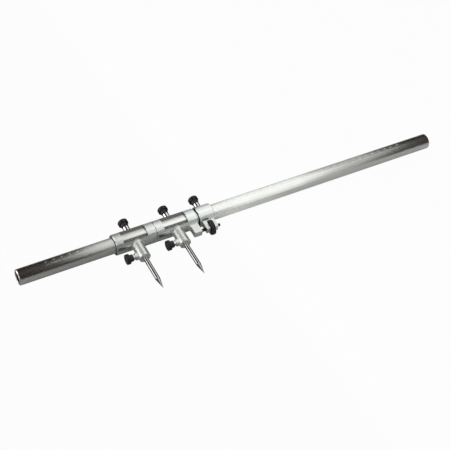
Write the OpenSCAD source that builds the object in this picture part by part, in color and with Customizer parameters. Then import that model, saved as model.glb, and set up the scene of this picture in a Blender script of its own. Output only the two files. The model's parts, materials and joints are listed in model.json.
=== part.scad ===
// Beam caliper: two sliders with steel points on a round tube, and a fine adjuster.
// Drawn as it is used, tube along X and points down, then laid on its back as a whole.

/* [Beam tube] */
// Length of the tube
beam_len = 585; // [500:5:700]
// Outside diameter of the tube
beam_d = 20; // [19:0.5:22]
// Bore of the tube
beam_bore_d = 15; // [12:0.5:16]
// Chamfer on the outside of both tube ends
beam_chamfer = 1; // [0.4:0.1:1.5]
// Chamfer on the bore at both tube ends
bore_chamfer = 0.4; // [0.2:0.1:0.6]
// Width of the keyway along the back of the tube
keyway_w = 3.2; // [2.6:0.1:4]
// Depth of the keyway
keyway_depth = 1.2; // [0.8:0.1:1.3]

/* [Sliders] */
// Distance from the left end of the tube to the left slider
left_slider_x = 121.75; // [80:0.25:160]
// Length of the left slider
left_slider_len = 54; // [50:0.5:60]
// Length of the right slider
right_slider_len = 55.25; // [52:0.25:62]
// Wall of both sliders and of the collar
slider_wall = 3; // [2.8:0.1:4]
// Radial running clearance of the sliders and the collar on the tube
slide_clearance = 0.03; // [0.02:0.01:0.08]
// Gap between the two sliders where they stand together
slider_gap = 0.1; // [0.05:0.05:1]
// Distance from a slider's left end to its point
point_offset = 27; // [25:0.5:29]
// Distance of a slider's clamp screw to the left of its point
clamp_shift = 1.5; // [0:0.25:3]
// Chamfer on the outer edges of the sliders and the collar
edge_chamfer = 0.6; // [0.2:0.1:1]

/* [Window] */
// Distance from a slider's left end to its reading window
window_start = 10.2; // [9:0.2:11.4]
// Length of the reading window
window_len = 32; // [24:1:37]
// Depth of the window's flat below the crest of the tube
window_sink = 1.2; // [0.8:0.1:1.5]

/* [Point bosses] */
// Diameter of the boss that holds a point
boss_d = 14.8; // [13:0.2:15.4]
// Height of the boss above the slider's surface
boss_height = 20.6; // [18:0.2:24]
// Diameter of the side boss for the point's clamp screw
side_boss_d = 9.4; // [8.6:0.2:10]
// How far the side boss stands out of the point boss
side_boss_out = 2.4; // [1.5:0.1:4]
// Distance from the boss's end to the point's clamp screw
point_clamp_back = 6.6; // [5.4:0.2:8]

/* [Points] */
// Diameter of the points
point_d = 6; // [5:0.2:7]
// Radial clearance of a point in its boss
point_clearance = 0.04; // [0.02:0.01:0.08]
// Length of a point outside its boss
point_out = 50; // [40:1:60]
// Length of a point inside its boss
point_in = 19.4; // [16:0.2:20]
// Room behind the inner end of a point
point_room = 1.6; // [1:0.1:2]
// Length of the cone at the tip
point_cone = 15; // [10:0.5:20]
// Diameter of the small flat on the tip
point_tip_d = 0.3; // [0.2:0.1:0.6]

/* [Clamp screws] */
// Diameter of the clamp studs
stud_d = 4; // [3.5:0.1:4.2]
// Radial clearance of a stud or a pad in its bush
stud_clearance = 0.05; // [0.03:0.01:0.08]
// Diameter of the shank by which a bush is pressed in
bush_shank_d = 6; // [5.4:0.1:6.4]
// Diameter of a bush's flange
bush_flange_d = 8.4; // [7.6:0.1:9]
// Diameter of a bush's neck
bush_neck_d = 6.4; // [6:0.1:7]
// Flange height of the bushes on the sliders and the collar
clamp_flange_h = 7.4; // [5:0.1:9]
// Neck height of the bushes on the sliders and the collar
clamp_neck_h = 1.3; // [0.8:0.1:3]
// Flange height of the bushes on the point bosses
point_flange_h = 1; // [0.6:0.1:1.6]
// Neck height of the bushes on the point bosses
point_neck_h = 2.2; // [1.8:0.1:4]
// Web left under a bush's shank
bush_web = 0.8; // [0.5:0.1:1]
// Gap between a pad and what it clamps, just short of contact
pad_gap = 0.15; // [0.1:0.05:0.3]
// Thickness of a brass pad
pad_h = 1.8; // [1.4:0.1:2.2]
// Diameter of the pin on a stud's end, which turns in its pad
stud_pin_d = 2; // [1.6:0.1:2.4]
// Length of the pin on a stud's end
stud_pin_len = 0.9; // [0.6:0.1:1]
// Gap between faces that turn or slide past each other
face_gap = 0.1; // [0.05:0.05:0.2]

/* [Knobs] */
// Diameter of a knob's rim
knob_d = 13; // [12:0.2:15]
// Thickness of a knob's rim
knob_h = 4.6; // [3.6:0.1:6]
// Diameter of a knob's hub
hub_d = 9; // [8:0.2:10]
// Height of a knob's hub
hub_h = 4.5; // [3.5:0.1:6]
// Chamfer on a knob's edges
knob_chamfer = 0.5; // [0.3:0.1:0.8]
// Gap between a tightened knob and its bush
knob_gap = 0.3; // [0.2:0.1:0.6]
// Depth of the dish in a knob's face
dish_depth = 0.5; // [0.2:0.1:0.8]
// Width of the raised ring round the dish
dish_ring = 1.6; // [1.2:0.1:2.2]
// Length of a stud that is pressed into its knob
stud_set = 7; // [5:0.2:7.2]

/* [Fine adjuster] */
// Gap between the right slider and the collar
collar_gap = 2.6; // [2.4:0.1:6]
// Length of the collar
collar_len = 20.6; // [19:0.2:26]
// Diameter of the thumbwheel
wheel_d = 19; // [17:0.5:22]
// Thickness of the thumbwheel
wheel_w = 4.6; // [3.6:0.1:5.2]
// Chamfer on the thumbwheel's rim
wheel_chamfer = 0.5; // [0.3:0.1:0.8]
// Distance between the thumbwheel's rim and the tube
wheel_over_beam = 2.5; // [1.9:0.1:4]
// Room round the rim of the thumbwheel in its slot
wheel_rim_gap = 0.5; // [0.3:0.1:0.7]
// Gap on each side of the thumbwheel in its slot
wheel_side_gap = 0.3; // [0.1:0.1:0.4]
// Thickness of each cheek of the fork
cheek_w = 5.1; // [4:0.1:6]
// Width of the fork and of the right slider's lug
lug_w = 9; // [7.5:0.5:10]
// Distance from the spindle to the fork's end
fork_tip = 3.8; // [3.2:0.1:5]
// Distance from the spindle to the end of the right slider's lug
lug_tip = 4; // [3.2:0.1:5]
// Length of the lug along the tube
lug_len = 10; // [8.8:0.2:12]
// Set-back of the lug from the right slider's end
lug_inset = 1.5; // [0.5:0.1:2.5]
// Radius of the corners of the lug and of the fork
lug_round = 1.6; // [0.8:0.1:2]
// Diameter of the threaded spindle
spindle_d = 4; // [3.6:0.1:4.4]
// Length of the spindle that is held in the lug
spindle_set = 8; // [6:0.2:8.4]
// Length of the spindle beyond the fork
spindle_out = 4; // [3:0.2:8]
// Chamfer on the spindle's free end
spindle_chamfer = 0.4; // [0.2:0.1:0.6]
// Radial clearance of the spindle in the thumbwheel's thread
spindle_clearance = 0.05; // [0.03:0.01:0.08]
// Radial clearance of the spindle in the fork's cheeks
fork_clearance = 0.1; // [0.05:0.01:0.3]
// Diameter of the set screw that locks the spindle
lock_d = 3; // [2.5:0.1:3.4]
// Depth of the lock screw below the lug's face
lock_sink = 0.3; // [0.1:0.1:0.5]

/* [Guide keys] */
// Width of a guide key
key_w = 3; // [2.4:0.1:3]
// Length of a guide key along the tube
key_len = 8; // [6:0.5:12]
// Depth to which a key is let into the slider's wall
key_set = 1; // [0.8:0.1:1.2]
// Gap between a key and the bottom of the keyway
key_gap = 0.15; // [0.1:0.05:0.3]
// Diameter of the key screws
key_screw_d = 2; // [1.6:0.1:2.2]
// Head diameter of the key screws
key_head_d = 3.6; // [3:0.1:4]
// Head height of the key screws
key_head_h = 0.8; // [0.6:0.1:0.9]
// Depth of a key screw's head below the slider's surface
key_head_sink = 0.3; // [0.2:0.1:0.4]
// Length of a key screw below its head
key_screw_len = 2.2; // [1.8:0.1:2.4]
// Depth of the hexagon socket in the small screws
socket_depth = 0.5; // [0.3:0.1:0.6]
// Width of the hexagon socket across its corners
socket_d = 1.4; // [1:0.1:1.6]

/* [Hidden] */
$fn = 96;
cut = 1;

// Radii of the tube, of the sliders' bore and of their outside
beam_r = beam_d / 2;
sleeve_bore_r = beam_r + slide_clearance;
slider_r = sleeve_bore_r + slider_wall;

// Distances from the tube's axis along the points
boss_reach = slider_r + boss_height;
point_reach = boss_reach + point_out;
point_shoulder = point_reach - point_cone;
point_inner = boss_reach - point_in;
point_clamp_r = boss_reach - point_clamp_back;
side_boss_reach = boss_d / 2 + side_boss_out;

// Clamp screws: where a bush seats, what its pad presses on, and where its neck ends
clamp_seat = sqrt(slider_r * slider_r - bush_flange_d * bush_flange_d / 4);
clamp_top = clamp_seat + clamp_flange_h + clamp_neck_h;
point_top = side_boss_reach + point_flange_h + point_neck_h;
thread_bore_d = stud_d + 2 * stud_clearance;

// Fine adjuster
spindle_r = beam_r + wheel_over_beam + wheel_d / 2;
slot_w = wheel_w + 2 * wheel_side_gap;
fork_len = slot_w + 2 * cheek_w;

// Places along the tube
right_slider_x = left_slider_x + left_slider_len + slider_gap;
collar_x = right_slider_x + right_slider_len + collar_gap;
collar_mid = collar_x + collar_len / 2;
left_point_x = left_slider_x + point_offset;
right_point_x = right_slider_x + point_offset;
left_clamp_x = left_point_x - clamp_shift;
right_clamp_x = right_point_x - clamp_shift;
lug_end = right_slider_x + right_slider_len - lug_inset;
spindle_start = lug_end - spindle_set;
spindle_end = collar_mid + fork_len / 2 + spindle_out;

// Guide keys
keyway_floor = beam_r - keyway_depth;
key_seat = sleeve_bore_r + key_set;
key_head_seat = slider_r - key_head_sink - key_head_h;

// The sliders and the shoulders of the two points lie on the ground
lie_angle = asin(slider_r / norm([point_shoulder, point_d / 2])) - atan(point_d / 2 / point_shoulder);
tip_y = -point_reach * cos(lie_angle) - point_tip_d / 2 * sin(lie_angle);
knob_top = clamp_top + knob_gap + hub_h + knob_h;
knob_edge_y = (knob_top - knob_chamfer) * cos(lie_angle) + knob_d / 2 * sin(lie_angle);
knob_face_y = knob_top * cos(lie_angle) + (knob_d / 2 - knob_chamfer) * sin(lie_angle);
middle_y = (tip_y + max(knob_edge_y, knob_face_y)) / 2;

// Moves the caliper from its drawing position to where it lies
module lying() {
  translate([-beam_len / 2, -middle_y, slider_r])
    rotate([lie_angle - 90, 0, 0])
      children();
}

// Turns what stands along Z so that it runs along X
module along_x() {
  rotate([0, 90, 0]) children();
}

// Places a clamp screw on the side away from the points
module beam_clamp(x) {
  lying() translate([x, 0, 0]) children();
}

// Places a clamp screw that points to the left at a point's boss
module point_clamp(x) {
  lying() translate([x, 0, -point_clamp_r]) rotate([0, -90, 0]) children();
}

// Ring with chamfered outer edges, standing on the ground
module chamfered_ring(outer_r, inner_r, len, chamfer) {
  rotate_extrude()
    polygon([
      [inner_r, 0],
      [outer_r - chamfer, 0],
      [outer_r, chamfer],
      [outer_r, len - chamfer],
      [outer_r - chamfer, len],
      [inner_r, len]
    ]);
}

// Block from the tube's axis towards the points, with two rounded corners at its end
module lug_block(len, reach) {
  side = lug_w / 2 - lug_round;
  rotate([90, 0, 90])
    linear_extrude(len)
      union() {
        translate([-lug_w / 2, lug_round - reach]) square([lug_w, reach - lug_round]);
        translate([-side, -reach]) square([2 * side, reach]);
        for (y = [-side, side])
          translate([y, lug_round - reach]) circle(lug_round);
      }
}

// Cuts for a bush that seats at a height, with its pad reaching the pressed surface
module bush_cuts(seat, pressed) {
  translate([0, 0, seat]) cylinder(h = slider_r, d = bush_flange_d);
  translate([0, 0, pressed + bush_web]) cylinder(h = seat - pressed, d = bush_shank_d);
  translate([0, 0, pressed - cut]) cylinder(h = bush_web + 2 * cut, d = thread_bore_d);
}

// Cuts for a guide key and its screw in the back wall
module key_cuts() {
  translate([-key_len / 2, 0, -key_w / 2]) cube([key_len, key_seat, key_w]);
  rotate([-90, 0, 0]) {
    translate([0, 0, key_head_seat]) cylinder(h = slider_r, d = key_head_d);
    cylinder(h = slider_r, d = key_screw_d);
  }
}

// Flat of the reading window, so deep that it opens the bore and shows the tube's scale
module window_cut() {
  flat = beam_r - window_sink;
  translate([window_start, -2 * slider_r, -slider_r])
    cube([window_len, 2 * slider_r - flat, 2 * slider_r]);
}

// One slider from its left end, with its boss, window and bores
module slider_body(len, with_lug) {
  difference() {
    union() {
      along_x() chamfered_ring(slider_r, beam_r / 2, len, edge_chamfer);
      translate([point_offset, 0, -boss_reach]) chamfered_ring(boss_d / 2, 0, boss_reach, edge_chamfer);
      translate([point_offset, 0, -point_clamp_r])
        rotate([0, -90, 0]) cylinder(h = side_boss_reach, d = side_boss_d);
      if (with_lug)
        translate([len - lug_inset - lug_len, 0, 0]) lug_block(lug_len, spindle_r + lug_tip);
    }
    translate([-cut, 0, 0]) along_x() cylinder(h = len + 2 * cut, r = sleeve_bore_r);
    translate([point_offset, 0, -boss_reach - cut])
      cylinder(h = point_in + point_room + cut, r = point_d / 2 + point_clearance);
    translate([point_offset, 0, -point_clamp_r])
      rotate([0, -90, 0]) bush_cuts(side_boss_reach, point_d / 2);
    window_cut();
    translate([point_offset - clamp_shift, 0, 0]) {
      bush_cuts(clamp_seat, beam_r);
      key_cuts();
    }
    if (with_lug)
      translate([len - lug_inset - spindle_set, 0, -spindle_r]) {
        along_x() cylinder(h = spindle_set + cut, d = spindle_d);
        translate([spindle_set - lug_len / 2, 0, 0])
          rotate([-90, 0, 0]) cylinder(h = lug_w, d = lock_d);
      }
  }
}

// Turned bush: shank in the wall, flange and neck outside, threaded bore
module bush(seat, pressed, flange_h, neck_h) {
  shank_end = pressed + bush_web;
  rotate_extrude()
    polygon([
      [thread_bore_d / 2, shank_end],
      [bush_shank_d / 2, shank_end],
      [bush_shank_d / 2, seat],
      [bush_flange_d / 2, seat],
      [bush_flange_d / 2, seat + flange_h - face_gap],
      [bush_flange_d / 2 - face_gap, seat + flange_h],
      [bush_neck_d / 2, seat + flange_h],
      [bush_neck_d / 2, seat + flange_h + neck_h],
      [thread_bore_d / 2, seat + flange_h + neck_h]
    ]);
}

// Knob with a hub below and a dished face, above a bush that ends at a height
module knob(bush_top) {
  foot = bush_top + knob_gap;
  rim = foot + hub_h;
  top = rim + knob_h;
  rotate_extrude()
    polygon([
      [stud_d / 2, foot],
      [hub_d / 2 - knob_chamfer, foot],
      [hub_d / 2, foot + knob_chamfer],
      [hub_d / 2, rim],
      [knob_d / 2 - knob_chamfer, rim],
      [knob_d / 2, rim + knob_chamfer],
      [knob_d / 2, top - knob_chamfer],
      [knob_d / 2 - knob_chamfer, top],
      [knob_d / 2 - dish_ring, top],
      [knob_d / 2 - dish_ring - dish_depth, top - dish_depth],
      [0, top - dish_depth],
      [0, foot + stud_set],
      [stud_d / 2, foot + stud_set]
    ]);
}

// Stud from its knob down to its pad, with a pin on its end
module stud(pressed, bush_top) {
  end = pressed + pad_gap + pad_h + face_gap;
  rotate_extrude()
    polygon([
      [0, end - stud_pin_len],
      [stud_pin_d / 2, end - stud_pin_len],
      [stud_pin_d / 2, end],
      [stud_d / 2, end],
      [stud_d / 2, bush_top + knob_gap + stud_set],
      [0, bush_top + knob_gap + stud_set]
    ]);
}

// Brass pad with a socket for the stud's pin
module pad(pressed) {
  foot = pressed + pad_gap;
  socket_floor = foot + pad_h - stud_pin_len;
  difference() {
    translate([0, 0, foot]) cylinder(h = pad_h, d = stud_d);
    translate([0, 0, socket_floor])
      cylinder(h = stud_pin_len + cut, d = stud_pin_d + 2 * stud_clearance);
  }
}

// Steel point with a conical tip
module point(x) {
  lying() translate([x, 0, 0]) rotate([180, 0, 0]) {
    translate([0, 0, point_inner]) cylinder(h = point_shoulder - point_inner, d = point_d);
    translate([0, 0, point_shoulder]) cylinder(h = point_cone, d1 = point_d, d2 = point_tip_d);
  }
}

// Key that runs in the tube's keyway
module guide_key(x) {
  low = keyway_floor + key_gap;
  lying() translate([x, 0, 0]) difference() {
    translate([-key_len / 2, low, -key_w / 2]) cube([key_len, key_seat - low, key_w]);
    rotate([-90, 0, 0])
      translate([0, 0, key_head_seat - key_screw_len]) cylinder(h = slider_r, d = key_screw_d);
  }
}

// Small screw that holds a guide key
module key_screw(x) {
  lying() translate([x, 0, 0]) rotate([-90, 0, 0]) difference() {
    union() {
      translate([0, 0, key_head_seat - key_screw_len]) cylinder(h = key_screw_len, d = key_screw_d);
      translate([0, 0, key_head_seat]) cylinder(h = key_head_h, d = key_head_d);
    }
    translate([0, 0, key_head_seat + key_head_h - socket_depth])
      cylinder(h = socket_depth + cut, d = socket_d, $fn = 6);
  }
}

module beam_tube() {
  color("gainsboro") lying() difference() {
    along_x() rotate_extrude()
      polygon([
        [beam_bore_d / 2 + bore_chamfer, 0],
        [beam_r - beam_chamfer, 0],
        [beam_r, beam_chamfer],
        [beam_r, beam_len - beam_chamfer],
        [beam_r - beam_chamfer, beam_len],
        [beam_bore_d / 2 + bore_chamfer, beam_len],
        [beam_bore_d / 2, beam_len - bore_chamfer],
        [beam_bore_d / 2, bore_chamfer]
      ]);
    translate([-cut, keyway_floor, -keyway_w / 2]) cube([beam_len + 2 * cut, beam_r, keyway_w]);
  }
}

module left_slider() {
  color("silver") lying() translate([left_slider_x, 0, 0]) slider_body(left_slider_len, false);
}

module right_slider() {
  color("silver") lying() translate([right_slider_x, 0, 0]) slider_body(right_slider_len, true);
}

module adjuster_collar() {
  color("silver") lying() translate([collar_mid, 0, 0]) difference() {
    union() {
      translate([-collar_len / 2, 0, 0])
        along_x() chamfered_ring(slider_r, beam_r / 2, collar_len, edge_chamfer);
      translate([-fork_len / 2, 0, 0]) lug_block(fork_len, spindle_r + fork_tip);
    }
    translate([-collar_len / 2 - cut, 0, 0])
      along_x() cylinder(h = collar_len + 2 * cut, r = sleeve_bore_r);
    translate([-slot_w / 2, 0, -spindle_r])
      along_x() cylinder(h = slot_w, r = wheel_d / 2 + wheel_rim_gap);
    translate([-collar_len, 0, -spindle_r])
      along_x() cylinder(h = 2 * collar_len, r = spindle_d / 2 + fork_clearance);
    bush_cuts(clamp_seat, beam_r);
    key_cuts();
  }
}

module left_point() { color("lightsteelblue") point(left_point_x); }
module right_point() { color("lightsteelblue") point(right_point_x); }

module clamp_bush(x) {
  color("whitesmoke") beam_clamp(x) bush(clamp_seat, beam_r, clamp_flange_h, clamp_neck_h);
}
module left_clamp_bush() { clamp_bush(left_clamp_x); }
module right_clamp_bush() { clamp_bush(right_clamp_x); }
module collar_clamp_bush() { clamp_bush(collar_mid); }

module point_bush(x) {
  color("whitesmoke")
    point_clamp(x) bush(side_boss_reach, point_d / 2, point_flange_h, point_neck_h);
}
module left_point_bush() { point_bush(left_point_x); }
module right_point_bush() { point_bush(right_point_x); }

module left_clamp_knob() { color("black") beam_clamp(left_clamp_x) knob(clamp_top); }
module right_clamp_knob() { color("black") beam_clamp(right_clamp_x) knob(clamp_top); }
module collar_clamp_knob() { color("black") beam_clamp(collar_mid) knob(clamp_top); }
module left_point_knob() { color("black") point_clamp(left_point_x) knob(point_top); }
module right_point_knob() { color("black") point_clamp(right_point_x) knob(point_top); }

module left_clamp_stud() { color("gray") beam_clamp(left_clamp_x) stud(beam_r, clamp_top); }
module right_clamp_stud() { color("gray") beam_clamp(right_clamp_x) stud(beam_r, clamp_top); }
module collar_clamp_stud() { color("gray") beam_clamp(collar_mid) stud(beam_r, clamp_top); }
module left_point_stud() { color("gray") point_clamp(left_point_x) stud(point_d / 2, point_top); }
module right_point_stud() { color("gray") point_clamp(right_point_x) stud(point_d / 2, point_top); }

module left_clamp_pad() { color("goldenrod") beam_clamp(left_clamp_x) pad(beam_r); }
module right_clamp_pad() { color("goldenrod") beam_clamp(right_clamp_x) pad(beam_r); }
module collar_clamp_pad() { color("goldenrod") beam_clamp(collar_mid) pad(beam_r); }
module left_point_pad() { color("goldenrod") point_clamp(left_point_x) pad(point_d / 2); }
module right_point_pad() { color("goldenrod") point_clamp(right_point_x) pad(point_d / 2); }

module left_guide_key() { color("dimgray") guide_key(left_clamp_x); }
module right_guide_key() { color("dimgray") guide_key(right_clamp_x); }
module collar_guide_key() { color("dimgray") guide_key(collar_mid); }
module left_key_screw() { color("dimgray") key_screw(left_clamp_x); }
module right_key_screw() { color("dimgray") key_screw(right_clamp_x); }
module collar_key_screw() { color("dimgray") key_screw(collar_mid); }

module adjuster_spindle() {
  len = spindle_end - spindle_start;
  color("darkslategray") lying() translate([spindle_start, 0, -spindle_r]) along_x()
    rotate_extrude()
      polygon([
        [0, 0],
        [spindle_d / 2, 0],
        [spindle_d / 2, len - spindle_chamfer],
        [spindle_d / 2 - spindle_chamfer, len],
        [0, len]
      ]);
}

module spindle_lock_screw() {
  len = lug_w / 2 - spindle_d / 2 - lock_sink;
  color("dimgray") lying() translate([lug_end - lug_len / 2, spindle_d / 2, -spindle_r])
    rotate([-90, 0, 0]) difference() {
      cylinder(h = len, d = lock_d);
      translate([0, 0, len - socket_depth]) cylinder(h = socket_depth + cut, d = socket_d, $fn = 6);
    }
}

module adjuster_wheel() {
  color("black") lying() translate([collar_mid - wheel_w / 2, 0, -spindle_r]) along_x()
    chamfered_ring(wheel_d / 2, spindle_d / 2 + spindle_clearance, wheel_w, wheel_chamfer);
}

beam_tube();
left_slider();
right_slider();
adjuster_collar();
left_point();
right_point();
left_clamp_bush();
right_clamp_bush();
collar_clamp_bush();
left_point_bush();
right_point_bush();
left_clamp_knob();
right_clamp_knob();
collar_clamp_knob();
left_point_knob();
right_point_knob();
left_clamp_stud();
right_clamp_stud();
collar_clamp_stud();
left_point_stud();
right_point_stud();
left_clamp_pad();
right_clamp_pad();
collar_clamp_pad();
left_point_pad();
right_point_pad();
left_guide_key();
right_guide_key();
collar_guide_key();
left_key_screw();
right_key_screw();
collar_key_screw();
adjuster_spindle();
spindle_lock_screw();
adjuster_wheel();
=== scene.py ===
import json
import math

import bmesh
import bpy
from mathutils import Matrix, Vector


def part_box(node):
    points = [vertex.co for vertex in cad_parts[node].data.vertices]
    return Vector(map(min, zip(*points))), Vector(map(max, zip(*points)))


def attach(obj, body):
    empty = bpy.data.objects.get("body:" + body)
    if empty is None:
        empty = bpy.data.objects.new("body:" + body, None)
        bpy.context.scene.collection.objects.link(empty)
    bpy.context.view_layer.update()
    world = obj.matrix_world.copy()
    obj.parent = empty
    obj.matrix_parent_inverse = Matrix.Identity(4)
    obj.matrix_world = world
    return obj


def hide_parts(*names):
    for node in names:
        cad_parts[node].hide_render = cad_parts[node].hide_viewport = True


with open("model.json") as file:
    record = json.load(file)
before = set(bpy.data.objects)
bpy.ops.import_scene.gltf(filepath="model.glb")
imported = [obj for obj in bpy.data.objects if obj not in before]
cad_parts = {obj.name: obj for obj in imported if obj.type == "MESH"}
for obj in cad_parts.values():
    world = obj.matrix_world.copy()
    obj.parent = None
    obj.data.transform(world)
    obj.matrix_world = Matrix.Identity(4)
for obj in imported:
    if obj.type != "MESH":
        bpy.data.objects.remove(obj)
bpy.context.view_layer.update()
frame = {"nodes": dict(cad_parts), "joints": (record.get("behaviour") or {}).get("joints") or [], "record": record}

mm = 0.001
nodes = frame["nodes"]
joints = {joint["name"]: joint for joint in frame["joints"]}
nodeBody = {
    node: body
    for body, members in frame["record"]["behaviour"]["bodies"].items()
    for node in members
}

# directions of the instrument as it lies: along the tube, along the points, out of the windows
beamDir = Vector((1, 0, 0))
pointDir = Vector(joints["left_point_slide"]["axis"]).normalized()
scaleDir = pointDir.cross(beamDir)
beamAxis = Vector(joints["collar_clamp_turn"]["pos_m"])
beamLow = Vector(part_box("beam_tube")[0])
beamRadius = max((vertex.co - beamAxis).yz.length for vertex in nodes["beam_tube"].data.vertices)
print("frame read: tube radius", round(beamRadius / mm, 3), "mm")


# small helpers
# weld, level and centre are lengths; square and upright are rises of a normal; rim is a share of a radius

near = {"weld": 1e-6, "level": 1e-7, "centre": 1e-5, "square": 0.99, "upright": 0.1, "rim": 0.99}


def startClean():
    if bpy.context.object and bpy.context.object.mode != "OBJECT":
        bpy.ops.object.mode_set(mode="OBJECT")
    bpy.ops.object.select_all(action="DESELECT")


def makeActive(obj):
    startClean()
    obj.select_set(True)
    bpy.context.view_layer.objects.active = obj


def nameNew(name):
    obj = bpy.context.object
    obj.name = name
    obj.data.name = name
    return obj


def editNew(name):
    obj = nameNew(name)
    bpy.ops.object.mode_set(mode="EDIT")
    bpy.ops.mesh.select_all(action="DESELECT")
    return obj


def editAll(obj):
    makeActive(obj)
    bpy.ops.object.mode_set(mode="EDIT")
    bpy.ops.mesh.select_all(action="SELECT")


def leaveFacingOut():
    bpy.ops.mesh.select_all(action="SELECT")
    bpy.ops.mesh.normals_make_consistent(inside=False)
    bpy.ops.object.mode_set(mode="OBJECT")


def pickFaces(test):
    mesh = bpy.context.object.data
    bpy.ops.mesh.select_mode(type="FACE")
    bm = bmesh.from_edit_mesh(mesh)
    for face in bm.faces:
        face.select_set(bool(test(face.calc_center_median(), face.normal)))
    bmesh.update_edit_mesh(mesh)


def pickEdges(test):
    mesh = bpy.context.object.data
    bpy.ops.mesh.select_mode(type="EDGE")
    bm = bmesh.from_edit_mesh(mesh)
    for edge in bm.edges:
        edge.select_set(bool(test(edge.verts[0].co, edge.verts[1].co)))
    bmesh.update_edit_mesh(mesh)


def softenEdges(obj, width, segments, angle):
    makeActive(obj)
    bevel = obj.modifiers.new("softEdges", "BEVEL")
    bevel.width = width
    bevel.segments = segments
    bevel.limit_method = "ANGLE"
    bevel.angle_limit = math.radians(angle)
    bpy.ops.object.modifier_apply(modifier=bevel.name)
    bpy.ops.object.shade_smooth_by_angle(angle=math.radians(angle))


def evenNormals(obj):
    makeActive(obj)
    even = obj.modifiers.new("evenNormals", "WEIGHTED_NORMAL")
    even.keep_sharp = True
    bpy.ops.object.modifier_apply(modifier=even.name)


def copyTo(obj, name, place):
    twin = obj.copy()
    twin.data = obj.data.copy()
    twin.name = name
    twin.data.name = name
    twin.data.transform(place)
    bpy.context.scene.collection.objects.link(twin)
    return twin


def removeModel(obj):
    mesh = obj.data
    bpy.data.objects.remove(obj)
    bpy.data.meshes.remove(mesh)


def footAlong(node, origin, axis):
    return min((vertex.co - origin).dot(axis) for vertex in nodes[node].data.vertices)


def middleX(node):
    low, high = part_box(node)
    return (low[0] + high[0]) / 2


def turnedTo(axis, place):
    return Matrix.Translation(place) @ axis.to_track_quat("Z", "Y").to_matrix().to_4x4()


def paint(obj, material):
    obj.data.materials.clear()
    obj.data.materials.append(material)


def give(obj, material):
    paint(obj, material)


def finishFaces(obj, material, test):
    obj.data.materials.append(material)
    for face in obj.data.polygons:
        if test(face):
            face.material_index = len(obj.data.materials) - 1


# finishes: noise mixes the dark and the light colour and moves the roughness between its two ends
# grain, skin, patches and rings: scale and detail of a noise; bump: strength and depth
# a roughness with two equal ends is set on the shader itself

noiseSpan = (0.3, 0.7)
evenStretch = (1, 1, 1)
tubeLook = {
    "dark": (0.64, 0.66, 0.63),
    "light": (0.76, 0.78, 0.75),
    "metallic": 1.0,
    "roughness": (0.20, 0.25),
    "drawn": 0.8,
    "patches": (40, 4),
    "rings": (1, 3),
    "ringStretch": (9000, 60, 60),
    "bump": (0.06, 0.02 * mm),
}
finishLooks = {
    "turnedSleeve": {
        "dark": (0.68, 0.72, 0.69),
        "light": (0.79, 0.83, 0.80),
        "metallic": 1.0,
        "roughness": (0.25, 0.32),
        "grain": (90, 5),
        "skin": (5200, 2),
        "bump": (0.10, 0.03 * mm),
    },
    # painted light: the bosses, the lug and their roots are coloured lighter than the sleeve to stand in for light
    # from the left, on a rougher blasted finish
    "blastedBossPaintedLight": {
        "dark": (0.82, 0.86, 0.82),
        "light": (0.92, 0.96, 0.92),
        "metallic": 1.0,
        "roughness": (0.42, 0.50),
        "grain": (90, 5),
        "skin": (5200, 2),
        "bump": (0.18, 0.03 * mm),
    },
    "pointSteel": {
        "dark": (0.48, 0.47, 0.46),
        "light": (0.60, 0.59, 0.58),
        "metallic": 1.0,
        "roughness": (0.05, 0.09),
        "grain": (220, 3),
        "stretch": (1, 0.2, 1),
    },
    "brightNickel": {
        "dark": (0.74, 0.74, 0.72),
        "light": (0.86, 0.86, 0.84),
        "metallic": 1.0,
        "roughness": (0.14, 0.24),
        "grain": (900, 3),
    },
    "blackMoulding": {
        "dark": (0.010, 0.006, 0.007),
        "light": (0.030, 0.021, 0.024),
        "metallic": 0.0,
        "roughness": (0.28, 0.42),
        "grain": (260, 3),
        "skin": (2600, 3),
        "bump": (0.10, 0.03 * mm),
    },
    "blackOxide": {
        "dark": (0.012, 0.012, 0.013),
        "light": (0.05, 0.048, 0.046),
        "metallic": 0.6,
        "roughness": (0.34, 0.52),
        "grain": (1400, 4),
    },
    "screwSteel": {
        "dark": (0.36, 0.36, 0.36),
        "light": (0.56, 0.56, 0.55),
        "metallic": 1.0,
        "roughness": (0.28, 0.44),
        "grain": (1800, 4),
    },
    "padBrass": {
        "dark": (0.58, 0.40, 0.16),
        "light": (0.80, 0.60, 0.28),
        "metallic": 1.0,
        "roughness": (0.24, 0.38),
        "grain": (1600, 3),
    },
    # painted shade: a dark colour for the window flats and the left slider's end face, standing in for the dark
    # reflections and shade there
    "windowPaintedShade": {
        "dark": (0.135, 0.130, 0.118),
        "light": (0.20, 0.19, 0.175),
        "metallic": 0.35,
        "roughness": (0.42, 0.55),
        "grain": (500, 4),
    },
    "frostedMark": {
        "dark": (0.90, 0.91, 0.90),
        "light": (0.99, 0.99, 0.98),
        "metallic": 1.0,
        "roughness": (0.40, 0.48),
        "grain": (700, 3),
    },
    "markWhite": {
        "dark": (0.55, 0.55, 0.53),
        "light": (0.80, 0.80, 0.78),
        "metallic": 0.0,
        "roughness": (0.55, 0.55),
        "grain": (900, 3),
    },
}


def newFinish(name, look):
    material = bpy.data.materials.new(name)
    material.use_nodes = True
    shader = material.node_tree.nodes["Principled BSDF"]
    shader.inputs["Base Color"].default_value = (*look["light"], 1)
    shader.inputs["Metallic"].default_value = look["metallic"]
    shader.inputs["Roughness"].default_value = look["roughness"][0]
    return material, material.node_tree.nodes, material.node_tree.links, shader


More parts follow.
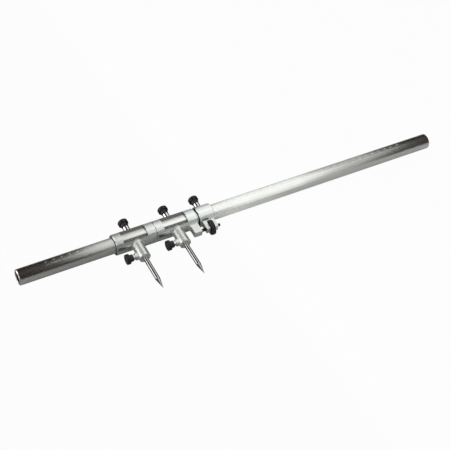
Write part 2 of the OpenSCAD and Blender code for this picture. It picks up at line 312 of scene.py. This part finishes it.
def grainOf(tree, links, grain, stretch=evenStretch):
    scale, detail = grain
    place = tree.new("ShaderNodeTexCoord")
    turn = tree.new("ShaderNodeMapping")
    turn.inputs["Scale"].default_value = stretch
    noise = tree.new("ShaderNodeTexNoise")
    noise.inputs["Scale"].default_value = scale
    noise.inputs["Detail"].default_value = detail
    links.new(place.outputs["Object"], turn.inputs["Vector"])
    links.new(turn.outputs["Vector"], noise.inputs["Vector"])
    return noise.outputs["Fac"]


def spread(tree, links, value, ends):
    ramp = tree.new("ShaderNodeMapRange")
    ramp.inputs["From Min"].default_value, ramp.inputs["From Max"].default_value = noiseSpan
    ramp.inputs["To Min"].default_value, ramp.inputs["To Max"].default_value = ends
    links.new(value, ramp.inputs["Value"])
    return ramp.outputs["Result"]


def tint(tree, links, value, dark, light):
    mix = tree.new("ShaderNodeMix")
    mix.data_type = "RGBA"
    mix.inputs["A"].default_value = (*dark, 1)
    mix.inputs["B"].default_value = (*light, 1)
    links.new(value, mix.inputs["Factor"])
    return mix.outputs["Result"]


def bumpFrom(tree, links, shader, value, bump):
    lift = tree.new("ShaderNodeBump")
    lift.inputs["Strength"].default_value, lift.inputs["Distance"].default_value = bump
    links.new(value, lift.inputs["Height"])
    links.new(lift.outputs["Normal"], shader.inputs["Normal"])


def groundTube(look):
    material, tree, links, shader = newFinish("groundTube", look)
    shader.inputs["Anisotropic"].default_value = look["drawn"]
    around = tree.new("ShaderNodeTangent")
    around.direction_type = "RADIAL"
    around.axis = "X"
    links.new(around.outputs[0], shader.inputs["Tangent"])
    rings = grainOf(tree, links, look["rings"], look["ringStretch"])
    patches = grainOf(tree, links, look["patches"])
    links.new(tint(tree, links, patches, look["dark"], look["light"]), shader.inputs["Base Color"])
    links.new(spread(tree, links, rings, look["roughness"]), shader.inputs["Roughness"])
    bumpFrom(tree, links, shader, rings, look["bump"])
    return material


def grainyFinish(name):
    look = finishLooks[name]
    material, tree, links, shader = newFinish(name, look)
    grain = grainOf(tree, links, look["grain"], look.get("stretch", evenStretch))
    links.new(tint(tree, links, grain, look["dark"], look["light"]), shader.inputs["Base Color"])
    smooth, rough = look["roughness"]
    if smooth < rough:
        links.new(spread(tree, links, grain, look["roughness"]), shader.inputs["Roughness"])
    if "skin" in look:
        bumpFrom(tree, links, shader, grainOf(tree, links, look["skin"]), look["bump"])
    return material


finishes = {
    "beam_chrome": groundTube(tubeLook),
    "matt_chrome": grainyFinish("turnedSleeve"),
    "point_steel": grainyFinish("pointSteel"),
    "bush_nickel": grainyFinish("brightNickel"),
    "knob_black": grainyFinish("blackMoulding"),
    "wheel_black": grainyFinish("blackMoulding"),
    "black_oxide": grainyFinish("blackOxide"),
    "screw_steel": grainyFinish("screwSteel"),
    "pad_brass": grainyFinish("padBrass"),
}
# rougher blasted finish with a lighter colour that is painted light
blastedLitChrome = grainyFinish("blastedBossPaintedLight")
scaleMark = grainyFinish("frostedMark")
vernierMark = grainyFinish("markWhite")
# painted shade for the window flats and the left slider's end face
windowShade = grainyFinish("windowPaintedShade")
for part in frame["record"]["subparts"]:
    paint(nodes[part["node"]], finishes[part["material_slot"]])
print("finishes on", len(nodes), "CAD nodes")


# castings: the CAD shape with its edges broken, painted shade on the window flats and end faces, and painted light
# on the bosses

castingShape = {
    "edge": 0.3 * mm,
    "segments": 2,
    "edgeAngle": 38,
    "dissolveAngle": 0.3,
    "sleeve": 13.1 * mm,
    "flatDepth": 8.8 * mm,
    "flatTolerance": 0.02 * mm,
    "facing": 0.98,
}


def modelCasting(node, shape):
    casting = bpy.data.objects.new(node + "_softened", nodes[node].data.copy())
    bpy.context.scene.collection.objects.link(casting)
    editAll(casting)
    bpy.ops.mesh.remove_doubles(threshold=near["weld"])
    bpy.ops.mesh.dissolve_limited(angle_limit=math.radians(shape["dissolveAngle"]))
    bpy.ops.object.mode_set(mode="OBJECT")
    softenEdges(casting, shape["edge"], shape["segments"], shape["edgeAngle"])
    evenNormals(casting)
    return casting


def blastBosses(casting, shape):
    # what stands out of the sleeve is blasted and coloured lighter as painted light, the sleeve itself is turned
    finishFaces(casting, blastedLitChrome, lambda face: (face.center - beamAxis).yz.length > shape["sleeve"])


# painted shade: the window flats are coloured dark to stand for the dark room they reflect
def darkenFlats(casting, shape):
    def onFlat(face):
        depth = (face.center - beamAxis).dot(scaleDir)
        level = abs(depth - shape["flatDepth"]) < shape["flatTolerance"]
        return level and face.normal.dot(scaleDir) > shape["facing"]

    finishFaces(casting, windowShade, onFlat)


# painted shade: the left end face gets a dark colour for the shade in the gap at the tube
def darkenEnd(casting, shape, finish):
    start = min(vertex.co.x for vertex in casting.data.vertices)

    def onEnd(face):
        return face.normal.x < -shape["facing"] and face.center.x - start < shape["flatTolerance"]

    finishFaces(casting, finish, onEnd)


for node in ("left_slider", "right_slider", "adjuster_collar"):
    casting = modelCasting(node, castingShape)
    give(casting, finishes["matt_chrome"])
    blastBosses(casting, castingShape)
    # painted shade: the collar's left end takes the black oxide colour and the left slider's left end takes the
    # dark window colour, for the shade in their gaps
    if node == "adjuster_collar":
        darkenEnd(casting, castingShape, finishes["black_oxide"])
    else:
        darkenFlats(casting, castingShape)
    if node == "left_slider":
        darkenEnd(casting, castingShape, windowShade)
    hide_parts(node)
    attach(casting, nodeBody[node])
print("castings softened")


# roots: hollow curves where the bosses and the lug grow out of the sleeves

rootShape = {
    "sleeveRadius": 13.03 * mm,
    "sink": 0.03 * mm,
    "depth": 0.5 * mm,
    "steps": 6,
    "smoothAngle": 38,
}
bossRoot = {"radius": 7.4 * mm, "reach": 2.0 * mm, "turns": 72}
lugRoot = {
    "outFromAxis": 20 * mm,
    "pastPoint": 8 * mm,
    "side": 4.45 * mm,
    "inset": 0.05 * mm,
    "cornerTurns": 5,
    "sideRows": 9,
    "left": 3.5 * mm,
    "top": 2.5 * mm,
    "right": 0.7 * mm,
    "bottom": 2.5 * mm,
}


def sleeveHeight(across, shape):
    return math.sqrt(shape["sleeveRadius"] ** 2 - across ** 2)


def modelRoot(name, path, shape):
    # path rows: place along the tube, place across it, direction away from the wall, reach of the curve
    count = shape["steps"] + 2
    shares = [step / shape["steps"] for step in range(shape["steps"] + 1)]
    startClean()
    # the torus gives only the net of faces: every vertex is placed below
    bpy.ops.mesh.primitive_torus_add(major_segments=len(path), minor_segments=count)
    root = nameNew(name)
    for row, (along, across, awayX, awayQ, reach) in enumerate(path):
        base = Vector((along, beamAxis.y, beamAxis.z)) + scaleDir * across
        away = beamDir * awayX + scaleDir * awayQ
        foot = sleeveHeight(across, shape)
        high = Vector((-shape["sink"], foot + reach))
        corner = Vector((0, foot))
        low = Vector((reach, sleeveHeight(across + awayQ * reach, shape) - shape["sink"]))
        section = [high * (1 - t) ** 2 + corner * 2 * t * (1 - t) + low * t ** 2 for t in shares]
        section.append(Vector((-shape["depth"], foot - shape["depth"])))
        for index, (distance, height) in enumerate(section):
            root.data.vertices[row * count + index].co = base + away * distance + pointDir * height
    editAll(root)
    leaveFacingOut()
    bpy.ops.object.shade_smooth_by_angle(angle=math.radians(shape["smoothAngle"]))
    return root


def bossPath(centreX, shape):
    path = []
    for turn in range(shape["turns"]):
        angle = 2 * math.pi * turn / shape["turns"]
        x, q = math.cos(angle), math.sin(angle)
        path.append((centreX + shape["radius"] * x, shape["radius"] * q, x, q, shape["reach"]))
    return path


def lugPath(lowX, highX, shape):
    # round the lug from its left face over the top, the right face and the underside
    low, high, side = lowX + shape["inset"], highX - shape["inset"], shape["side"]
    corners = ((low, -side), (low, side), (high, side), (high, -side))
    reaches = (shape["left"], shape["top"], shape["right"], shape["bottom"])
    path = []
    for face in range(4):
        start, end = Vector(corners[face]), Vector(corners[(face + 1) % 4])
        angle = math.pi - face * math.pi / 2
        for row in range(shape["sideRows"] + 1):
            place = start.lerp(end, row / shape["sideRows"])
            path.append((place.x, place.y, math.cos(angle), math.sin(angle), reaches[face]))
        for turn in range(1, shape["cornerTurns"]):
            share = turn / shape["cornerTurns"]
            lean = angle - share * math.pi / 2
            reach = reaches[face] * (1 - share) + reaches[(face + 1) % 4] * share
            path.append((end.x, end.y, math.cos(lean), math.sin(lean), reach))
    return path


lugPlaces = [
    vertex.co.x
    for vertex in nodes["right_slider"].data.vertices
    if (vertex.co - beamAxis).dot(pointDir) > lugRoot["outFromAxis"]
    and vertex.co.x > middleX("right_point") + lugRoot["pastPoint"]
]
roots = {
    "left_slider": [modelRoot("left_boss_root", bossPath(middleX("left_point"), bossRoot), rootShape)],
    "right_slider": [
        modelRoot("right_boss_root", bossPath(middleX("right_point"), bossRoot), rootShape),
        modelRoot("lug_root", lugPath(min(lugPlaces), max(lugPlaces), lugRoot), rootShape),
    ],
}
# the roots take the bosses' lighter colour, which is painted light
for node, pieces in roots.items():
    for piece in pieces:
        give(piece, blastedLitChrome)
        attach(piece, nodeBody[node])
print("roots blended, lug from", round(min(lugPlaces) / mm, 2), "to", round(max(lugPlaces) / mm, 2), "mm")


# knobs: fluted rim, dished face, hub below

knobShape = {
    "flutes": 32,
    "fluteDepth": 0.42 * mm,
    "fluteSlope": 0.16 * mm,
    "rimRadius": 6.5 * mm,
    "rimHeight": 4.6 * mm,
    "rimChamfer": 0.55 * mm,
    "hubRadius": 4.5 * mm,
    "hubHeight": 4.5 * mm,
    "hubChamfer": 0.4 * mm,
    "dishRing": 1.5 * mm,
    "dishDepth": 0.5 * mm,
    "edge": 0.09 * mm,
    "edgeAngle": 28,
    "segments": 2,
}


def pickCaps(*sides):
    def onCap(centre, normal):
        square = any(normal.z * side > near["square"] for side in sides)
        return square and centre.xy.length < near["centre"]

    pickFaces(onCap)


def fluteSide(shape):
    step = math.pi / shape["flutes"]

    def inFlute(centre, normal):
        turn = math.atan2(centre.y, centre.x) % (2 * math.pi)
        return abs(normal.z) < near["upright"] and int(turn / step) % 2 == 0

    pickFaces(inFlute)
    bpy.ops.mesh.inset(thickness=shape["fluteSlope"], depth=-shape["fluteDepth"], use_individual=True)


def chamferCaps(radius, shape):
    def onRim(a, b):
        return abs(a.z - b.z) < near["level"] and min(a.xy.length, b.xy.length) > near["rim"] * radius

    pickEdges(onRim)
    bpy.ops.mesh.bevel(offset=shape["rimChamfer"], segments=shape["segments"], affect="EDGES")


def modelKnob(shape):
    startClean()
    bpy.ops.mesh.primitive_cylinder_add(
        vertices=2 * shape["flutes"],
        radius=shape["rimRadius"],
        depth=shape["rimHeight"],
        location=(0, 0, shape["hubHeight"] + shape["rimHeight"] / 2),
    )
    bpy.ops.object.transform_apply(location=True, rotation=True, scale=True)
    knob = editNew("knobModel")
    chamferCaps(shape["rimRadius"], shape)
    fluteSide(shape)
    # dish in the top face
    pickCaps(1)
    bpy.ops.mesh.inset(thickness=shape["dishRing"] - shape["rimChamfer"])
    bpy.ops.mesh.inset(thickness=shape["dishDepth"], depth=-shape["dishDepth"])
    # hub under the rim
    pickCaps(-1)
    bpy.ops.mesh.inset(thickness=shape["rimRadius"] - shape["rimChamfer"] - shape["hubRadius"])
    bpy.ops.mesh.extrude_region_move(
        TRANSFORM_OT_translate={"value": (0, 0, shape["hubChamfer"] - shape["hubHeight"])}
    )
    bpy.ops.mesh.inset(thickness=shape["hubChamfer"], depth=shape["hubChamfer"])
    leaveFacingOut()
    softenEdges(knob, shape["edge"], shape["segments"], shape["edgeAngle"])
    return knob


knobModel = modelKnob(knobShape)
for clamp in ("left_clamp", "right_clamp", "collar_clamp", "left_point", "right_point"):
    turn = joints[clamp + "_turn"]
    axis = Vector(turn["axis"]).normalized()
    origin = Vector(turn["pos_m"])
    foot = footAlong(clamp + "_knob", origin, axis)
    knob = copyTo(knobModel, clamp + "_knob_fluted", turnedTo(axis, origin + axis * foot))
    give(knob, finishes["knob_black"])
    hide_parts(clamp + "_knob")
    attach(knob, nodeBody[clamp + "_knob"])
removeModel(knobModel)
print("knobs placed")


# thumbwheel: fluted rim, recessed faces, bore for the spindle

wheelShape = {
    "flutes": 46,
    "fluteDepth": 0.45 * mm,
    "fluteSlope": 0.16 * mm,
    "rimChamfer": 0.5 * mm,
    "rimWidth": 2.0 * mm,
    "recess": 0.4 * mm,
    "boreRadius": 2.05 * mm,
    "edge": 0.09 * mm,
    "edgeAngle": 28,
    "segments": 2,
}


def modelWheel(shape, radius, width):
    hubStep = radius - shape["rimWidth"] - shape["recess"] - shape["boreRadius"]
    startClean()
    bpy.ops.mesh.primitive_cylinder_add(vertices=2 * shape["flutes"], radius=radius, depth=width)
    wheel = editNew("wheelModel")
    chamferCaps(radius, shape)
    fluteSide(shape)
    for side in (1, -1):
        pickCaps(side)
        bpy.ops.mesh.inset(thickness=shape["rimWidth"] - shape["rimChamfer"])
        bpy.ops.mesh.inset(thickness=shape["recess"], depth=-shape["recess"])
        bpy.ops.mesh.inset(thickness=hubStep)
    pickCaps(1, -1)
    bpy.ops.mesh.bridge_edge_loops()
    leaveFacingOut()
    softenEdges(wheel, shape["edge"], shape["segments"], shape["edgeAngle"])
    return wheel


wheelTurn = joints["wheel_turn"]
wheelAxis = Vector(wheelTurn["axis"]).normalized()
wheelLow, wheelHigh = (Vector(corner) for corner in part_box("adjuster_wheel"))
wheelModel = modelWheel(wheelShape, (wheelHigh.z - wheelLow.z) / 2, wheelHigh.x - wheelLow.x)
wheel = copyTo(wheelModel, "adjuster_wheel_fluted", turnedTo(wheelAxis, (wheelLow + wheelHigh) / 2))
removeModel(wheelModel)
give(wheel, finishes["wheel_black"])
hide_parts("adjuster_wheel")
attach(wheel, nodeBody["adjuster_wheel"])
print("thumbwheel placed")


# spindle: a screw thread cut off square at both ends

spindleShape = {
    "pitch": 0.7 * mm,
    "threadDepth": 0.36 * mm,
    "crest": 0.08 * mm,
    "steps": 24,
    "spareTurns": 2,
    "smoothAngle": 25,
}


def modelSpindle(shape, radius, length):
    turns = math.ceil(length / shape["pitch"]) + shape["spareTurns"]
    root = radius - shape["threadDepth"]
    flank = shape["pitch"] / 2 - shape["crest"]
    profile = [(root, 0), (radius, flank), (radius, flank + 2 * shape["crest"]), (root, shape["pitch"])]
    startClean()
    bpy.ops.mesh.primitive_grid_add(x_subdivisions=turns * shape["steps"], y_subdivisions=len(profile) - 1)
    rod = nameNew("spindleModel")
    # the strip is wound into a helix, each turn lying on the edge of the turn before
    rowLength = len(rod.data.vertices) // len(profile)
    for index, vertex in enumerate(rod.data.vertices):
        row, step = divmod(index, rowLength)
        reach, rise = profile[row]
        turn = step / shape["steps"]
        angle = 2 * math.pi * turn
        vertex.co = (reach * math.cos(angle), reach * math.sin(angle), rise + shape["pitch"] * (turn - 1))
    editAll(rod)
    bpy.ops.mesh.remove_doubles(threshold=near["weld"])
    for height, clearOuter in ((0, False), (length, True)):
        bpy.ops.mesh.select_all(action="SELECT")
        bpy.ops.mesh.bisect(
            plane_co=(0, 0, height),
            plane_no=(0, 0, 1),
            clear_inner=not clearOuter,
            clear_outer=clearOuter,
        )
    bpy.ops.mesh.select_all(action="SELECT")
    bpy.ops.mesh.remove_doubles(threshold=near["weld"])
    bpy.ops.mesh.fill_holes(sides=0)
    leaveFacingOut()
    bpy.ops.object.shade_smooth_by_angle(angle=math.radians(shape["smoothAngle"]))
    return rod


spindleLow, spindleHigh = (Vector(corner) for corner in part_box("adjuster_spindle"))
spindleRadius = (spindleHigh.z - spindleLow.z) / 2
spindleModel = modelSpindle(spindleShape, spindleRadius, spindleHigh.x - spindleLow.x)
spindleFoot = Vector((spindleLow.x, (spindleLow.y + spindleHigh.y) / 2, (spindleLow.z + spindleHigh.z) / 2))
spindle = copyTo(spindleModel, "adjuster_spindle_thread", turnedTo(beamDir, spindleFoot))
removeModel(spindleModel)
give(spindle, finishes["black_oxide"])
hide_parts("adjuster_spindle")
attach(spindle, nodeBody["adjuster_spindle"])
print("spindle placed")


# scale on the tube: strokes and numbers wrapped round the side that the windows face

scaleShape = {
    "zero": 36 * mm,
    "span": 500,
    "strokeWidth": 0.11 * mm,
    "foot": -3.9 * mm,
    "lengths": (2.0 * mm, 0.7 * mm, 0.7 * mm),
    "steps": (1, 5, 10),
    "numberEvery": 10,
    "digitHeight": 2.3 * mm,
    "digitFoot": 0.1 * mm,
    "lift": 0.012 * mm,
    "sink": 0.03 * mm,
    "slice": 0.45 * mm,
}
# heightShare: height of a digit as a share of the font's size
lettering = {"heightShare": 0.7, "curveSteps": 2}


def sliceFlat(obj, low, high, step):
    makeActive(obj)
    bpy.ops.object.mode_set(mode="EDIT")
    cuts = math.ceil((high - low) / step)
    for cut in range(1, cuts):
        bpy.ops.mesh.select_all(action="SELECT")
        bpy.ops.mesh.bisect(plane_co=(0, low + (high - low) * cut / cuts, 0), plane_no=(0, 1, 0))
    bpy.ops.object.mode_set(mode="OBJECT")


def strokeRow(name, low, high, count, pitch, shape):
    # flat drawing: x along the tube, y away from the points, z out of the surface
    startClean()
    bpy.ops.mesh.primitive_cube_add(size=1)
    row = editNew(name)
    bpy.ops.mesh.select_all(action="SELECT")
    thick = shape["lift"] + shape["sink"]
    bpy.ops.transform.resize(value=(shape["strokeWidth"], high - low, thick), center_override=(0, 0, 0))
    bpy.ops.transform.translate(value=(0, (low + high) / 2, (shape["lift"] - shape["sink"]) / 2))
    bpy.ops.object.mode_set(mode="OBJECT")
    sliceFlat(row, low, high, shape["slice"])
    array = row.modifiers.new("row", "ARRAY")
    array.use_relative_offset = False
    array.use_constant_offset = True
    array.constant_offset_displace = (pitch, 0, 0)
    array.count = count
    bpy.ops.object.modifier_apply(modifier=array.name)
    return row


def numberRow(name, labels, shape):
    # labels: pairs of text and place along the row
    height, foot = shape["digitHeight"], shape["digitFoot"]
    written = []
    for text, place in labels:
        startClean()
        bpy.ops.object.text_add()
        label = bpy.context.object
        label.data.body = text
        label.data.size = height / lettering["heightShare"]
        label.data.align_x = "CENTER"
        label.data.resolution_u = lettering["curveSteps"]
        label.data.extrude = (shape["lift"] + shape["sink"]) / 2
        bpy.ops.object.convert(target="MESH")
        label.data.transform(Matrix.Translation((place, foot, (shape["lift"] - shape["sink"]) / 2)))
        written.append(label)
    startClean()
    for label in written:
        label.select_set(True)
    bpy.context.view_layer.objects.active = written[0]
    bpy.ops.object.join()
    row = editNew(name)
    bpy.ops.mesh.select_all(action="SELECT")
    bpy.ops.mesh.remove_doubles(threshold=near["weld"])
    bpy.ops.object.mode_set(mode="OBJECT")
    sliceFlat(row, foot, foot + height, shape["slice"])
    return row


def wrapOnTube(obj, start):
    for vertex in obj.data.vertices:
        angle = vertex.co.y / beamRadius
        outward = scaleDir * math.cos(angle) - pointDir * math.sin(angle)
        onAxis = Vector((start + vertex.co.x, beamAxis.y, beamAxis.z))
        vertex.co = onAxis + outward * (beamRadius + vertex.co.z)


def layOnFlat(obj, start, depth):
    for vertex in obj.data.vertices:
        onAxis = Vector((start + vertex.co.x, beamAxis.y, beamAxis.z))
        vertex.co = onAxis - pointDir * vertex.co.y + scaleDir * (depth + vertex.co.z)


def engraveTube(shape):
    pieces = []
    low = shape["foot"]
    for step, length in zip(shape["steps"], shape["lengths"]):
        count = shape["span"] // step + 1
        pieces.append(strokeRow(f"scale_strokes_{step}", low, low + length, count, step * mm, shape))
        low += length
    values = range(0, shape["span"] + 1, shape["numberEvery"])
    pieces.append(numberRow("scale_numbers", [(str(value), value * mm) for value in values], shape))
    for piece in pieces:
        wrapOnTube(piece, beamLow.x + shape["zero"])
        paint(piece, scaleMark)
        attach(piece, nodeBody["beam_tube"])


engraveTube(scaleShape)
print("tube engraved")


# verniers on the strip of each window's flat that lies below the opening

vernierShape = {
    "divisions": 20,
    "divisionsPerUnit": 2,
    "numberEvery": 10,
    "longEvery": 5,
    "pitch": 0.95 * mm,
    "strokeWidth": 0.11 * mm,
    "top": -5.3 * mm,
    "length": 1.5 * mm,
    "longer": 0.7 * mm,
    "digitHeight": 1.1 * mm,
    "digitFoot": -8.85 * mm,
    "lift": 0.012 * mm,
    "sink": 0.03 * mm,
    "slice": 5 * mm,
}


def engraveVernier(slider, clamp, shape):
    low = shape["top"] - shape["length"]
    divisions, every, pitch = shape["divisions"], shape["longEvery"], shape["pitch"]
    marks = range(0, divisions + 1, shape["numberEvery"])
    labels = [(str(mark // shape["divisionsPerUnit"]), mark * pitch) for mark in marks]
    pieces = (
        strokeRow(slider + "_vernier_strokes", low, shape["top"], divisions + 1, pitch, shape),
        strokeRow(slider + "_vernier_long", low - shape["longer"], low, divisions // every + 1,
                  every * pitch, shape),
        numberRow(slider + "_vernier_numbers", labels, shape),
    )
    for piece in pieces:
        layOnFlat(piece, middleX(clamp + "_pad") - divisions * pitch / 2, castingShape["flatDepth"])
        paint(piece, vernierMark)
        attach(piece, nodeBody[slider])


engraveVernier("left_slider", "left_clamp", vernierShape)
engraveVernier("right_slider", "right_clamp", vernierShape)
print("verniers engraved")


# camera, floor and light

cameraView = {
    "place": (-0.51078, -0.87528, 0.86868),
    "yaw": 28.702,
    "pitch": 40.707,
    "roll": 0.768,
    "fov": 23.937,
    "sensor": 36,
    "clip": (0.01, 100),
}


def placeCamera(view):
    data = bpy.data.cameras.new("photoCamera")
    data.sensor_width = view["sensor"]
    data.lens = view["sensor"] / 2 / math.tan(math.radians(view["fov"]) / 2)
    data.clip_start, data.clip_end = view["clip"]
    camera = bpy.data.objects.new("photoCamera", data)
    yaw = Matrix.Rotation(math.radians(-view["yaw"]), 4, "Z")
    pitch = Matrix.Rotation(math.radians(90 - view["pitch"]), 4, "X")
    roll = Matrix.Rotation(math.radians(view["roll"]), 4, "Z")
    camera.matrix_world = Matrix.Translation(view["place"]) @ yaw @ pitch @ roll
    bpy.context.scene.collection.objects.link(camera)
    bpy.context.scene.camera = camera


placeCamera(cameraView)

# pool: a painted pool of light on the floor, with painted shade where it is dim; how the floor's brightness runs
# along the tube, as place within poolSpan and share
floorLook = {
    "radius": 30,
    "sides": 96,
    "drop": 0.0002,
    "roughness": 0.9,
    "bright": (0.9, 0.9, 0.9),
    "dim": (0.28, 0.28, 0.28),
    "poolSpan": (-0.30, 0.30),
    "pool": ((0.0, 0.15), (0.20, 0.10), (0.42, 0.12), (0.48, 1.0), (0.56, 0.8), (0.65, 0.5), (0.90, 0.4)),
    "seenGlow": 0.97,
    "mirrorGlow": (0.03, 0.36),
}


def floorPool(tree, links, look):
    place = tree.new("ShaderNodeTexCoord")
    split = tree.new("ShaderNodeSeparateXYZ")
    links.new(place.outputs["Object"], split.inputs[0])
    along = tree.new("ShaderNodeMapRange")
    along.inputs["From Min"].default_value, along.inputs["From Max"].default_value = look["poolSpan"]
    links.new(split.outputs["X"], along.inputs["Value"])
    pool = tree.new("ShaderNodeValToRGB")
    pool.color_ramp.interpolation = "EASE"
    stops = pool.color_ramp.elements
    while len(stops) < len(look["pool"]):
        stops.new(1.0)
    for stop, (position, share) in zip(stops, look["pool"]):
        stop.position = position
        stop.color = (share, share, share, 1)
    links.new(along.outputs["Result"], pool.inputs["Fac"])
    return pool.outputs["Color"]


def floorGlow(tree, links, look, pool):
    # the camera sees a white floor, mirrors see the painted pool of light as glow
    path = tree.new("ShaderNodeLightPath")
    seen = tree.new("ShaderNodeMath")
    seen.operation = "MULTIPLY"
    seen.inputs[1].default_value = look["seenGlow"]
    links.new(path.outputs["Is Camera Ray"], seen.inputs[0])
    bounced = tree.new("ShaderNodeMath")
    bounced.operation = "MAXIMUM"
    links.new(path.outputs["Is Glossy Ray"], bounced.inputs[0])
    links.new(path.outputs["Is Transmission Ray"], bounced.inputs[1])
    mirrored = tree.new("ShaderNodeMapRange")
    mirrored.inputs["To Min"].default_value, mirrored.inputs["To Max"].default_value = look["mirrorGlow"]
    links.new(pool, mirrored.inputs["Value"])
    share = tree.new("ShaderNodeMath")
    share.operation = "MULTIPLY_ADD"
    links.new(bounced.outputs[0], share.inputs[0])
    links.new(mirrored.outputs[0], share.inputs[1])
    links.new(seen.outputs[0], share.inputs[2])
    return share.outputs[0]


def layFloor(look):
    startClean()
    bpy.ops.mesh.primitive_circle_add(
        vertices=look["sides"], radius=look["radius"], fill_type="NGON", location=(0, 0, -look["drop"])
    )
    floor = bpy.context.object
    floor.name = "studioFloor"
    material = bpy.data.materials.new("paleFloor")
    material.use_nodes = True
    tree, links = material.node_tree.nodes, material.node_tree.links
    shader = tree["Principled BSDF"]
    shader.inputs["Roughness"].default_value = look["roughness"]
    pool = floorPool(tree, links, look)
    # painted light and shade: the floor's colour follows the pool, from dim to bright along the tube
    links.new(tint(tree, links, pool, look["dim"], look["bright"]), shader.inputs["Base Color"])
    glow = tree.new("ShaderNodeEmission")
    mix = tree.new("ShaderNodeMixShader")
    links.new(floorGlow(tree, links, look, pool), mix.inputs["Fac"])
    links.new(shader.outputs[0], mix.inputs[1])
    links.new(glow.outputs[0], mix.inputs[2])
    links.new(mix.outputs[0], tree["Material Output"].inputs["Surface"])
    floor.data.materials.append(material)


layFloor(floorLook)

# radiance: how bright a panel looks; 1 is white, and its power is four times radiance times area
# the panels stand in an arch over the tube, from behind to in front
powerPerRadiance = 4
arch = {"radius": 1.0, "panel": 36, "rightFade": (0.18, 0.42)}
archPanels = {
    "backLow": {"lean": -72, "reach": (0.36, 0.60), "leftFade": (0.32, 0.33), "radiance": 0.85},
    "backHigh": {"lean": -36, "reach": (0.30, 0.62), "leftFade": (0.26, 0.68), "radiance": 1.0},
    "overhead": {"lean": 0, "reach": (0.15, 0.66), "leftFade": (0.12, 0.66), "radiance": 1.1},
    "frontHigh": {"lean": 36, "reach": (0.24, 0.64), "leftFade": (0.21, 0.58), "radiance": 1.05},
    "frontLow": {"lean": 72, "reach": (0.37, 0.60), "leftFade": (0.31, 0.24), "radiance": 0.88},
}
fills = {
    "leftSide": {
        "place": (-0.92, 0.52, 0.34),
        "aim": (-0.12, -0.02, 0.01),
        "size": (0.60, 0.64),
        "radiance": 1.8,
    },
    "leftFront": {
        "place": (-1.05, -0.50, 0.75),
        "aim": (-0.15, 0.0, 0.0),
        "size": (1.0, 0.9),
        "radiance": 1.2,
    },
    "leftFar": {
        "place": (-1.0, 0.0, 3.0),
        "aim": (-1.0, 0.0, 0.0),
        "size": (1.8, 2.5),
        "radiance": 0.65,
    },
    "leftLow": {
        "place": (-1.5, -0.15, 0.22),
        "aim": (-0.2, 0.0, 0.02),
        "size": (0.35, 0.25),
        "radiance": 1.6,
    },
}


def hangPanel(name, place, aim, size, radiance):
    data = bpy.data.lights.new(name, "AREA")
    data.shape = "RECTANGLE"
    data.size, data.size_y = size
    data.energy = powerPerRadiance * radiance * data.size * data.size_y
    obj = bpy.data.objects.new(name, data)
    facing = (Vector(aim) - Vector(place)).to_track_quat("-Z", "Y")
    obj.matrix_world = Matrix.Translation(place) @ facing.to_matrix().to_4x4()
    obj.visible_camera = False
    bpy.context.scene.collection.objects.link(obj)


def hangArch(shape, panels):
    tall = 2 * shape["radius"] * math.tan(math.radians(shape["panel"] / 2))
    rightWidth, rightShare = shape["rightFade"]
    for name, panel in panels.items():
        lean = math.radians(panel["lean"])
        low, high = panel["reach"]
        leftWidth, leftShare = panel["leftFade"]
        strips = {
            "Main": (low, high, 1.0),
            "Left": (low - leftWidth, low, leftShare),
            "Right": (high, high + rightWidth, rightShare),
        }
        for strip, (start, end, share) in strips.items():
            aim = Vector(((start + end) / 2, beamAxis.y, beamAxis.z))
            place = aim + shape["radius"] * Vector((0, -math.sin(lean), math.cos(lean)))
            hangPanel(name + strip, place, aim, (end - start, tall), panel["radiance"] * share)


hangArch(arch, archPanels)
for name, fill in fills.items():
    hangPanel(name, fill["place"], fill["aim"], fill["size"], fill["radiance"])

worldLook = {"room": (0.020, 0.010, 0.008), "horizon": (0.1, 0.1, 0.1), "horizonReach": (0.0, 0.07)}


def fillWorld(look):
    world = bpy.data.worlds.new("studioRoom")
    world.use_nodes = True
    tree, links = world.node_tree.nodes, world.node_tree.links
    place = tree.new("ShaderNodeTexCoord")
    split = tree.new("ShaderNodeSeparateXYZ")
    links.new(place.outputs["Generated"], split.inputs[0])
    rise = tree.new("ShaderNodeMapRange")
    rise.interpolation_type = "SMOOTHSTEP"
    rise.inputs["From Min"].default_value, rise.inputs["From Max"].default_value = look["horizonReach"]
    links.new(split.outputs["Z"], rise.inputs["Value"])
    colour = tint(tree, links, rise.outputs[0], look["horizon"], look["room"])
    links.new(colour, tree["Background"].inputs["Color"])
    bpy.context.scene.world = world


fillWorld(worldLook)
bpy.context.scene.view_settings.view_transform = "Standard"
print("stage set")
